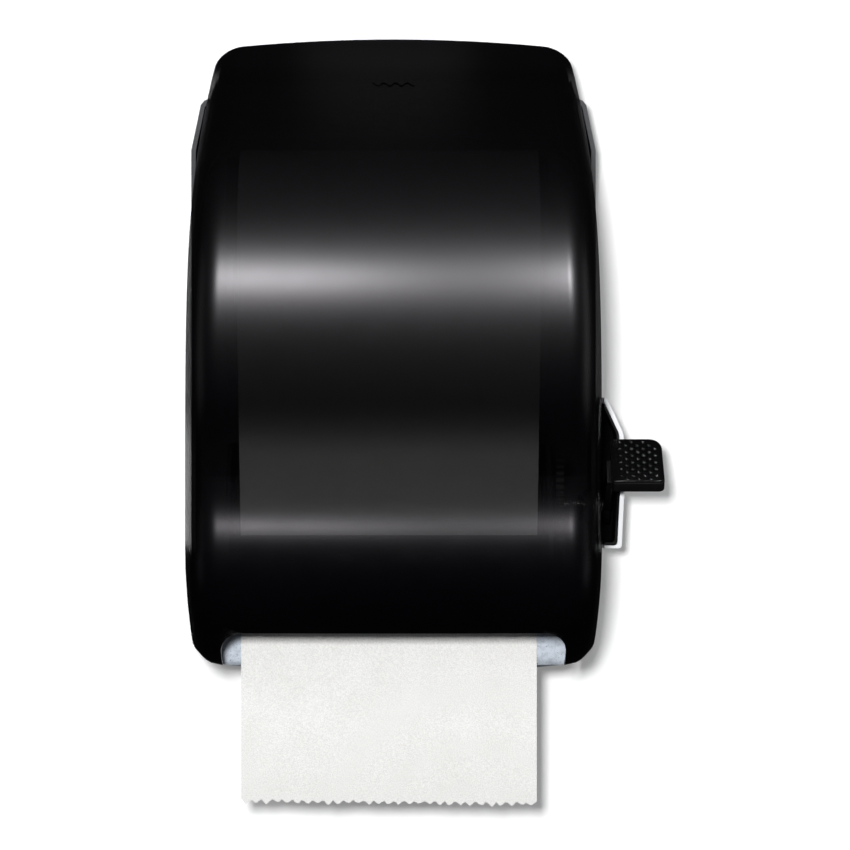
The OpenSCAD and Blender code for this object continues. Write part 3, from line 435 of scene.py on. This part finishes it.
def coverRib(c, p):
    h = p.y
    if h > c["rampLow"]:
        squeeze = (c["shoulder"] - c["rampLow"]) / (c["topHeight"] - c["rampLow"])
        h = c["rampLow"] + (h - c["rampLow"]) * squeeze
    foot = Vector((c["rimDepth"], h))
    halfWidth, reach = rimHalfWidth(c, h), (p - foot).length
    v = (p - foot) / reach
    lean = math.atan2(c["draft"] * min(1, reach / 60), reach)
    radius = min(c["cornerRadius"], reach * 0.72)
    centre = Vector((halfWidth - (reach - radius) * math.tan(lean) - radius / math.cos(lean), reach - radius))
    side = Vector((halfWidth, 0))
    start = centre + polar(radius, math.degrees(lean))
    right = [side.lerp(start, k / 6) for k in range(6)]
    right += arcPoints(centre, radius, math.degrees(lean), 90, 10)
    right += [Vector((centre.x * x, reach)) for x in (0.875, 0.75, 0.625, 0.5, 0.375, 0.25, 0.125)]
    half = right + [Vector((0, reach))] + [Vector((-q.x, q.y)) for q in reversed(right)]
    out = []
    for q in half:
        w = q.y - c["crown"] * (q.x / halfWidth) ** 2 * q.y / reach
        out.append(spot(q.x, foot.x + v.x * w, foot.y + v.y * w))
    return out


def roundedBox(bm, x0, x1, z0, z1, radius, y0, y1):
    points = []
    corners = ((x1 - radius, z1 - radius, 0), (x0 + radius, z1 - radius, 90))
    for cx, cz, first in corners:
        points += [Vector((cx + radius * math.cos(math.radians(first + 90 * k / 10)), y0,
                           cz + radius * math.sin(math.radians(first + 90 * k / 10)))) for k in range(11)]
    points += [Vector((x0, y0, z0)), Vector((x1, y0, z0))]
    extruded(bm, points, Vector((0, y1 - y0, 0)))


def cutWith(piece, cutter):
    cut = piece.modifiers.new("cut", "BOOLEAN")
    cut.object, cut.operation, cut.solver = cutter, "DIFFERENCE", "EXACT"
    shapes = bpy.context.evaluated_depsgraph_get()
    done = bpy.data.meshes.new_from_object(piece.evaluated_get(shapes))
    piece.modifiers.clear()
    piece.data = done
    bpy.data.objects.remove(cutter)


def makeCover(c):
    outline, lip, rampWay, rimTop = coverOutline(c)
    bm = bmesh.new()
    chains = []
    for p in outline:
        verts = [bm.verts.new(q) for q in coverRib(c, p)]
        chains.append([bm.edges.new(pair) for pair in zip(verts, verts[1:])])
    for upper, lower in zip(chains, chains[1:]):
        bmesh.ops.bridge_loops(bm, edges=upper + lower)
    bmesh.ops.recalc_face_normals(bm, faces=bm.faces)
    front = max(bm.faces, key=lambda f: -f.calc_center_median().y)
    if front.normal.y > 0:
        bmesh.ops.reverse_faces(bm, faces=bm.faces)
    bmesh.ops.solidify(bm, geom=list(bm.faces), thickness=c["wall"] * 0.001)
    bmesh.ops.recalc_face_normals(bm, faces=bm.faces)
    cover = newPiece("smokedCover", bm, smoke, "cover", ["front_cover"], 35)

    cutterMesh = bmesh.new()
    half = c["windowHalfWidth"] * 0.001
    roundedBox(cutterMesh, -half, half, spot(0, 0, -20).z, spot(0, 0, lip.y).z, c["windowCorner"] * 0.001,
               -c["windowBack"] * 0.001, -c["windowFront"] * 0.001)
    slotHeight = rimTop.y + (c["slotDepth"] - rimTop.x) * rampWay.y / rampWay.x
    steps = c["slotSteps"]
    wave = []
    for k in range(steps + 1):
        rise = c["slotWave"] * math.cos(k / steps * math.tau * c["slotWaves"])
        wave.append(((k / steps - 0.5) * c["slotLength"], rise))
    slotBack = c["slotDepth"] - c["slotBehind"]
    upper = [spot(x, slotBack, slotHeight + h + c["slotWidth"] / 2) for x, h in wave]
    lower = [spot(x, slotBack, slotHeight + h - c["slotWidth"] / 2) for x, h in reversed(wave)]
    extruded(cutterMesh, upper + lower, Vector((0, -c["slotReach"] * 0.001, 0)))
    bmesh.ops.recalc_face_normals(cutterMesh, faces=cutterMesh.faces)
    tool = bpy.data.meshes.new("cutter")
    cutterMesh.to_mesh(tool)
    cutterMesh.free()
    cutter = bpy.data.objects.new("cutter", tool)
    scene.collection.objects.link(cutter)
    cutWith(cover, cutter)

    edged = bmesh.new()
    edged.from_mesh(cover.data)
    bmesh.ops.remove_doubles(edged, verts=edged.verts, dist=1e-6)
    bevelSharp(edged, c["edge"] * 0.001, 2, 55)
    edged.to_mesh(cover.data)
    edged.free()
    for face in cover.data.polygons:
        face.use_smooth = True
    cover.data.set_sharp_from_angle(angle=math.radians(35))
    even = cover.modifiers.new("even", "WEIGHTED_NORMAL")
    even.keep_sharp = True
    shapes = bpy.context.evaluated_depsgraph_get()
    smoothed = bpy.data.meshes.new_from_object(cover.evaluated_get(shapes))
    cover.modifiers.clear()
    cover.data = smoothed
    return cover


def makeEar(e, side, name):
    bm = bmesh.new()
    front, low, high = e["front"], e["low"], e["high"]
    ring = arcPoints(Vector((e["depth"], e["height"])), e["radius"], 90, 270, 14)
    ring += [Vector((front, low)), Vector((front, high)), Vector((e["back"], high))]
    middle = side * e["x"] - e["thick"] / 2
    extruded(bm, [spot(middle, p.x, p.y) for p in ring], Vector((e["thick"] * 0.001, 0, 0)))
    tabStart = e["tabX"] if side > 0 else -e["tabX"] - e["tabWide"]
    tab = ((e["tabBack"], low), (front, low), (front, high), (e["tabBack"], high))
    extruded(bm, [spot(tabStart, *p) for p in tab], Vector((e["tabWide"] * 0.001, 0, 0)))
    bmesh.ops.recalc_face_normals(bm, faces=bm.faces)
    bevelSharp(bm, e["edge"] * 0.001, 2)
    newPiece(name, bm, smoke, "cover")


cover = makeCover(coverShape)
makeEar(earShape, -1, "hingeEarLeft")
makeEar(earShape, 1, "hingeEarRight")
print("cover made:", len(cover.data.polygons), "faces")

# towel: roll, web and hanging sheet

towelShape = {"left": -102.0, "right": 96.0, "plane": 115.0, "thick": 0.3, "torn": -91.0, "slant": 2.4,
              "top": 116.8, "teeth": 29, "toothRoom": 2.2, "toothBase": 3.6,
              "bendFrom": 30, "bendOver": 121, "curl": 0.9, "bow": 1.1,
              "rollRadius": 82.0, "rollDepth": 118.0, "rollHeight": 265.0, "coreRadius": 21.7,
              "driveDepth": 133.5, "driveHeight": 65.0, "driveRadius": 18.0}


def makeSheet(t):
    rng = random.Random(41)
    width, length = t["right"] - t["left"], t["top"] - t["torn"]
    across, down = 132, 110
    bm = bmesh.new()
    bmesh.ops.create_grid(bm, x_segments=across, y_segments=down, size=0.5)
    teeth, hem = t["teeth"], t["torn"] + t["toothRoom"]
    jog = [rng.uniform(-0.7, 0.7) for k in range(teeth + 2)]
    deep = [rng.uniform(2.0, 3.9) for k in range(teeth + 2)]
    for v in bm.verts:
        s, q = v.co.x + 0.5, v.co.y + 0.5
        height = hem + q * (length - t["toothRoom"])
        if q < 0.001:
            at = s * teeth
            k = int(min(at, teeth - 1e-6))
            tip = 0.5 + jog[k] * 0.25
            part = at - k
            part = part / tip if part < tip else (1 - part) / (1 - tip)
            height = t["torn"] + t["toothBase"] - deep[k] * part + rng.uniform(-0.3, 0.3)
            height = max(height, t["torn"])
        height -= t["slant"] * s * (1 - q) ** 2
        drop = max(0.0, t["bendFrom"] - height) / t["bendOver"]
        bend = t["curl"] * drop ** 1.6 * math.sin(s * 5.2 + 0.6) - t["bow"] * drop ** 2
        v.co = spot(t["left"] + s * width, t["plane"] + bend, height)
    bm.normal_update()
    bmesh.ops.solidify(bm, geom=list(bm.faces), thickness=t["thick"] * 0.001)
    bmesh.ops.recalc_face_normals(bm, faces=bm.faces)
    sheet = newPiece("towelSheet", bm, towelWhite, "towel", ["towel_sheet"], 60)


def makeWeb(t):
    roll, drive = Vector((t["rollDepth"], t["rollHeight"])), Vector((t["driveDepth"], t["driveHeight"]))
    outer, inner = t["rollRadius"] + 0.25, t["driveRadius"] + 0.45
    way = drive - roll
    turn = slopeOf(way) + math.degrees(math.acos((outer + inner) / way.length))
    n = polar(1, turn)
    path = [(roll + n * outer).lerp(drive - n * inner, k / 24) for k in range(25)]
    bm = bmesh.new()
    width, columns = t["right"] - t["left"], 40
    row = [bm.verts.new(spot(t["left"] + width * k / columns, *path[0])) for k in range(columns + 1)]
    edges = [bm.edges.new(pair) for pair in zip(row, row[1:])]
    for a, b in zip(path, path[1:]):
        made = bmesh.ops.extrude_edge_only(bm, edges=edges)["geom"]
        edges = [g for g in made if isinstance(g, bmesh.types.BMEdge) and g.is_boundary
                 and all(v in made for v in g.verts)]
        verts = [g for g in made if isinstance(g, bmesh.types.BMVert)]
        bmesh.ops.translate(bm, verts=verts, vec=spot(0, b.x, b.y) - spot(0, a.x, a.y))
    bmesh.ops.recalc_face_normals(bm, faces=bm.faces)
    bmesh.ops.solidify(bm, geom=list(bm.faces), thickness=t["thick"] * 0.001)
    web = newPiece("towelWeb", bm, towelWhite, "root", ["towel_web"], 60)


def makeRoll(t):
    # half the section of the wound roll: its ends show the edges of the layers
    rng = random.Random(7)
    points = []
    layers = 56
    for k in range(layers * 2 + 1):
        r = t["coreRadius"] + 0.1 + (t["rollRadius"] - t["coreRadius"] - 0.1) * k / (layers * 2)
        points.append((r, 0.35 * (k % 2) * rng.uniform(0.4, 1) + 0.25 * rng.random()))
    bm = bmesh.new()
    middle = t["rollDepth"], t["rollHeight"]
    chain = [spot(t["left"] + dip, middle[0], middle[1] + r) for r, dip in points]
    chain += [spot(t["right"] - dip, middle[0], middle[1] + r) for r, dip in reversed(points)]
    verts = [bm.verts.new(p) for p in chain]
    edges = [bm.edges.new(pair) for pair in zip(verts, verts[1:] + verts[:1])]
    bmesh.ops.spin(bm, geom=verts + edges, cent=spot(0, *middle), axis=(1, 0, 0), angle=math.tau, steps=144,
                   use_merge=True, use_duplicate=False)
    bmesh.ops.remove_doubles(bm, verts=bm.verts, dist=1e-6)
    bmesh.ops.recalc_face_normals(bm, faces=bm.faces)
    return newPiece("woundRoll", bm, rollWhite, "roll", ["paper_roll"], 50)


makeSheet(towelShape)
makeWeb(towelShape)
makeRoll(towelShape)
print("towel made")

# finger lever

padShape = {"inX": 147.0, "outX": 181.6, "rearDepth": 86.0, "frontDepth": 122.0, "rearHeight": 154.0,
            "frontHeight": 125.0, "skin": 1.5, "taper": 0.5, "rearCorner": 8.0, "frontCorner": 3.5,
            "dotRadius": 1.4, "dotRise": 0.9, "rows": 12, "pitch": 3.55, "step": 7.9,
            "side": 0.6, "end": 1, "dotInner": 5.6, "dotFront": 3.0, "dotOuter": 2.4,
            "clearEnd": 8, "clearSide": 4}


def makePad(p):
    rear, front = Vector((p["rearDepth"], p["rearHeight"])), Vector((p["frontDepth"], p["frontHeight"]))
    length = (front - rear).length
    along = (front - rear) / length
    up = Vector((-along.y, along.x))
    if up.y < 0:
        up = -up

    def on(x, s, rise=0.0):
        q = rear + along * s + up * rise
        return spot(x, q.x, q.y)

    inner, outer = p["inX"], p["outX"]
    end = p["end"]
    corners = [(inner, length - end), (inner, end)]
    slant = math.degrees(math.atan2(p["taper"], length))
    rearRadius, frontRadius = p["rearCorner"], p["frontCorner"]
    rearCentre = Vector((outer - p["side"] - p["taper"] - rearRadius, end + rearRadius))
    frontCentre = Vector((outer - p["side"] - frontRadius, length - end - frontRadius))
    corners += [(q.x, q.y) for q in arcPoints(rearCentre, rearRadius, -90, -slant, 8)]
    corners += [(q.x, q.y) for q in arcPoints(frontCentre, frontRadius, -slant, 90, 5)]
    bm = bmesh.new()
    extruded(bm, [on(x, s, -p["skin"]) for x, s in corners], on(0, 0, 0) - on(0, 0, -p["skin"]))
    bmesh.ops.recalc_face_normals(bm, faces=bm.faces)
    bevelSharp(bm, 0.0004, 3)
    origin = spot(0, 0, 0)
    turn = Matrix((Vector((1, 0, 0)), spot(0, *along) - origin, spot(0, *up) - origin))
    turn = Matrix([row.normalized() for row in turn]).transposed().to_4x4()
    for k in range(p["rows"]):
        s = length - p["dotFront"] - k * p["pitch"]
        edge = outer - p["dotOuter"] - p["taper"] * (1 - s / length)
        x = inner + p["dotInner"] + (p["step"] / 2 if k % 2 == 0 else 0)
        while x < edge - p["dotRadius"]:
            if s >= p["clearEnd"] or x <= edge - p["clearSide"]:
                ball = bmesh.ops.create_uvsphere(bm, u_segments=10, v_segments=6,
                                                 radius=p["dotRadius"] * 0.001)
                dot = ball["verts"]
                bmesh.ops.scale(bm, verts=dot, vec=(1, 1, p["dotRise"] / p["dotRadius"]))
                bmesh.ops.transform(bm, matrix=Matrix.Translation(on(x, s)) @ turn, verts=dot)
            x += p["step"]
    return newPiece("dottedPad", bm, padBlack, "lever", ["lever_pad"], 40)


makePad(padShape)
eased("lever_arm", blackPlastic, 0.8, 3)
eased("lever_guard", blackPlastic, 0.5, 3)
print("lever made")

# springs

# centre and direction, then the radius, wire and length in metres, turns and the node it stands for
springs = {
    "leverCoil": (spot(124, 49.684, 107), (1, 0, 0), 0.0069, 0.0006, 0.011, 8, "lever_spring"),
    "armCoil": (spot(-107, 22, 265), (0, 0, 1), 0.0042, 0.00045, 0.0128, 12, "left_arm_spring"),
    "latchCoil": (spot(-10.5, 60, 379), (1, 0, 0), 0.0031, 0.00035, 0.0032, 4, "latch_spring"),
}
for name, (centre, way, radius, wire, length, turns, node) in springs.items():
    coil(name, centre, Vector(way), radius, wire, length, turns, "root", [node])
print("springs made")

# housing and the rest of the parts

easedNodes = {
    "chute_nose": (greyPlastic, "housing", 0.4), "lever_pocket": (pocketWhite, "pocket_white", 0.5),
    "left_frame": (framePaintedShade, "chassis", 0.3), "right_frame": (framePaintedShade, "chassis", 0.3),
    "right_roll_arm": (framePaintedShade, "chassis", 0.4), "left_roll_arm": (framePaintedShade, "chassis", 0.4),
}
for node, (finish, slotName, width) in easedNodes.items():
    eased(node, finish, width)

finishes = {
    "back_housing": chassisPaintedShade, "paper_guide": greyPlastic, "frame_screws": steelAcross,
    "shaft_bushes": nylon, "blade_bar": paleGrey, "tear_blade": steelPlate, "blade_screws": steelAcross,
    "roller_guard": blackPlastic, "pinch_blocks": acetalBlack, "pinch_springs": springSteel,
    "lever_bushes": nylon, "lever_stop": padBlack, "right_hub": acetalBlack,
    "left_arm_bracket": framePaintedShade, "left_arm_pin": steelAcross,
    "latch_bracket": framePaintedShade, "latch_pin": steelAcross, "hinge_pins": steelAcross,
    "catch_plate": smoke, "lever_shaft": steelAcross, "sector_gear": acetalBlack, "lever_screw": steelAcross,
    "drive_shaft": steelAcross, "drive_rollers": rollerBlack, "drive_pinion": acetalBlack,
    "clutch_hub": acetalBlack, "shaft_clips": springSteel, "pinch_roller": rollerBlack,
    "pinch_shaft": steelAcross, "roll_core": coreBoard,
    "left_hub": acetalBlack, "latch_lever": blackPlastic,
}
for node, finish in finishes.items():
    mesh = nodes[node].data
    mesh.materials.clear()
    mesh.materials.append(finish)
print("finishes set:", len(finishes))

# camera, light and backdrop

cameraSettings = {"distance": 3.0, "height": -0.0265, "lens": 182.4, "shiftX": 0.03706, "shiftY": -0.0412}
camera = bpy.data.objects.new("camera", bpy.data.cameras.new("camera"))
camera.data.lens = cameraSettings["lens"]
camera.data.sensor_width = 36
camera.data.shift_x = cameraSettings["shiftX"]
camera.data.shift_y = cameraSettings["shiftY"]
camera.location = (0, -cameraSettings["distance"], cameraSettings["height"])
camera.rotation_euler = (math.radians(90), 0, 0)
scene.collection.objects.link(camera)
scene.camera = camera

lamps = {
    "leftSoftbox": {"at": (-0.58, -2.6, 1.34), "aim": (0, -0.2, 0.0),
                    "size": (1.0, 0.38), "power": 58, "lights": False},
    "rightSoftbox": {"at": (0.95, -2.4, 1.30), "aim": (0, -0.2, 0.0),
                     "size": (0.35, 0.38), "power": 48, "lights": False},
    "frontLamp": {"at": (-0.15, -3.0, 0.13), "aim": (0, -0.1, -0.1),
                  "size": (0.18, 0.2), "power": 86, "mirrored": False},
    "highLamp": {"at": (-0.8, -2.4, 1.1), "aim": (0, -0.1, 0.0),
                 "size": (0.6, 0.6), "power": 4, "mirrored": False},
    "overheadCard": {"at": (-0.006, -0.0095, 0.354), "aim": (-0.006, -0.062, 0.2127),
                     "size": (0.14, 0.11), "power": 0.0032, "lights": False},
    "leftFill": {"at": (-1.6, -0.5, -0.05), "aim": (0, -0.1, 0), "size": (0.6, 1.7), "power": 0.7},
    "rightFill": {"at": (1.6, -0.5, -0.05), "aim": (0, -0.1, 0), "size": (0.6, 1.7), "power": 1.8},
    "rearFill": {"at": (0.3, 1.6, 0.8), "aim": (0, 0, 0), "size": (1.2, 1.2), "power": 45},
}
for name, lamp in lamps.items():
    data = bpy.data.lights.new(name, "AREA")
    data.shape = "ELLIPSE" if name == "overheadCard" else "RECTANGLE"
    data.size, data.size_y = lamp["size"]
    data.energy = lamp["power"]
    light = bpy.data.objects.new(name, data)
    light.location = lamp["at"]
    light.rotation_euler = (Vector(lamp["aim"]) - Vector(lamp["at"])).to_track_quat("-Z", "Y").to_euler()
    light.visible_glossy = lamp.get("mirrored", True)
    light.visible_diffuse = lamp.get("lights", True)
    light.visible_camera = False
    scene.collection.objects.link(light)

# the dim colour is also the painted shadow on the wall behind the housing
stageSettings = {"glow": 0.20, "pale": 0.80, "dim": 0.004, "wallGap": 0.0008, "floorDrop": 0.52,
                 "hiddenHalfWidth": 0.11, "hiddenHalfHeight": 0.18, "reach": 4, "shade": 0.008, "open": 0.35,
                 "air": (0.94, 0.965, 1)}


def seenByEye(tree):
    path = tree.nodes.new("ShaderNodeLightPath")
    either = tree.nodes.new("ShaderNodeMath")
    either.operation = "MAXIMUM"
    tree.links.new(path.outputs["Is Camera Ray"], either.inputs[0])
    tree.links.new(path.outputs["Is Transmission Ray"], either.inputs[1])
    return path, either


# right behind the housing the wall is painted with shadow, dark to the camera, so that the screw holes look dark
def outsideHousing(tree, seen):
    place = tree.nodes.new("ShaderNodeTexCoord")
    parts = tree.nodes.new("ShaderNodeSeparateXYZ")
    tree.links.new(place.outputs["Object"], parts.inputs["Vector"])
    last = None
    for axis, reach in (("X", stageSettings["hiddenHalfWidth"]), ("Z", stageSettings["hiddenHalfHeight"])):
        size = tree.nodes.new("ShaderNodeMath")
        size.operation = "ABSOLUTE"
        tree.links.new(parts.outputs[axis], size.inputs[0])
        beyond = tree.nodes.new("ShaderNodeMath")
        beyond.operation = "GREATER_THAN"
        beyond.inputs[1].default_value = reach
        tree.links.new(size.outputs[0], beyond.inputs[0])
        if last:
            either = tree.nodes.new("ShaderNodeMath")
            either.operation = "MAXIMUM"
            tree.links.new(last, either.inputs[0])
            tree.links.new(beyond.outputs[0], either.inputs[1])
            last = either.outputs[0]
        else:
            last = beyond.outputs[0]
    both = tree.nodes.new("ShaderNodeMath")
    both.operation = "MULTIPLY"
    tree.links.new(seen, both.inputs[0])
    tree.links.new(last, both.inputs[1])
    return both.outputs[0]


def stageMaterial(name, seeThroughBack):
    material = bpy.data.materials.new(name)
    material.use_nodes = True
    tree = material.node_tree
    tree.nodes.clear()
    out = tree.nodes.new("ShaderNodeOutputMaterial")
    path, eye = seenByEye(tree)
    pale = tree.nodes.new("ShaderNodeBsdfDiffuse")
    pale.inputs["Color"].default_value = (*[stageSettings["pale"]] * 3, 1)
    glow = tree.nodes.new("ShaderNodeEmission")
    glow.inputs["Strength"].default_value = stageSettings["glow"]
    both = tree.nodes.new("ShaderNodeAddShader")
    tree.links.new(pale.outputs[0], both.inputs[0])
    tree.links.new(glow.outputs[0], both.inputs[1])
    # dark wall for every ray but the camera's; behind the housing the camera sees it too, as painted shadow
    dim = tree.nodes.new("ShaderNodeBsdfDiffuse")
    dim.inputs["Color"].default_value = (*[stageSettings["dim"]] * 3, 1)
    choice = tree.nodes.new("ShaderNodeMixShader")
    seen = eye.outputs[0]
    if seeThroughBack:
        seen = outsideHousing(tree, seen)
    tree.links.new(seen, choice.inputs[0])
    tree.links.new(dim.outputs[0], choice.inputs[1])
    tree.links.new(both.outputs[0], choice.inputs[2])
    last = choice
    if seeThroughBack:
        side = tree.nodes.new("ShaderNodeNewGeometry")
        clear = tree.nodes.new("ShaderNodeBsdfTransparent")
        last = tree.nodes.new("ShaderNodeMixShader")
        tree.links.new(side.outputs["Backfacing"], last.inputs[0])
        tree.links.new(choice.outputs[0], last.inputs[1])
        tree.links.new(clear.outputs[0], last.inputs[2])
    tree.links.new(last.outputs[0], out.inputs["Surface"])
    return material


# a flat rectangle round a centre, facing up before it is turned
def stagePlane(name, centre, halfWidth, halfLength, turn, material):
    bm = bmesh.new()
    bmesh.ops.create_grid(bm, x_segments=1, y_segments=1, size=1)
    bmesh.ops.scale(bm, verts=bm.verts, vec=(halfWidth, halfLength, 1))
    bmesh.ops.transform(bm, matrix=Matrix.Translation(centre) @ turn, verts=bm.verts)
    mesh = bpy.data.meshes.new(name)
    bm.to_mesh(mesh)
    bm.free()
    mesh.materials.append(material)
    plane = bpy.data.objects.new(name, mesh)
    scene.collection.objects.link(plane)


reach = stageSettings["reach"]
floorHeight = baseHeight * 0.001 - stageSettings["floorDrop"]
wallCentre = (0, stageSettings["wallGap"], (reach + floorHeight) / 2)
upright = Matrix.Rotation(math.radians(90), 4, "X")
stagePlane("wall", wallCentre, reach, (reach - floorHeight) / 2, upright, stageMaterial("wallPaint", True))
stagePlane("floor", (0, 0, floorHeight), reach, reach, Matrix.Identity(4), stageMaterial("floorPaint", False))

world = bpy.data.worlds.new("studio")
scene.world = world
world.use_nodes = True
tree = world.node_tree
air = tree.nodes["Background"]
air.inputs["Color"].default_value = (*stageSettings["air"], 1)
path, eye = seenByEye(tree)
diffuse = tree.nodes.new("ShaderNodeMapRange")
diffuse.inputs["To Min"].default_value = stageSettings["shade"]
diffuse.inputs["To Max"].default_value = stageSettings["open"]
tree.links.new(path.outputs["Is Diffuse Ray"], diffuse.inputs["Value"])
whole = tree.nodes.new("ShaderNodeMath")
whole.operation = "MAXIMUM"
tree.links.new(diffuse.outputs["Result"], whole.inputs[0])
tree.links.new(eye.outputs[0], whole.inputs[1])
tree.links.new(whole.outputs[0], air.inputs["Strength"])
scene.view_settings.view_transform = "Standard"
print("studio made")
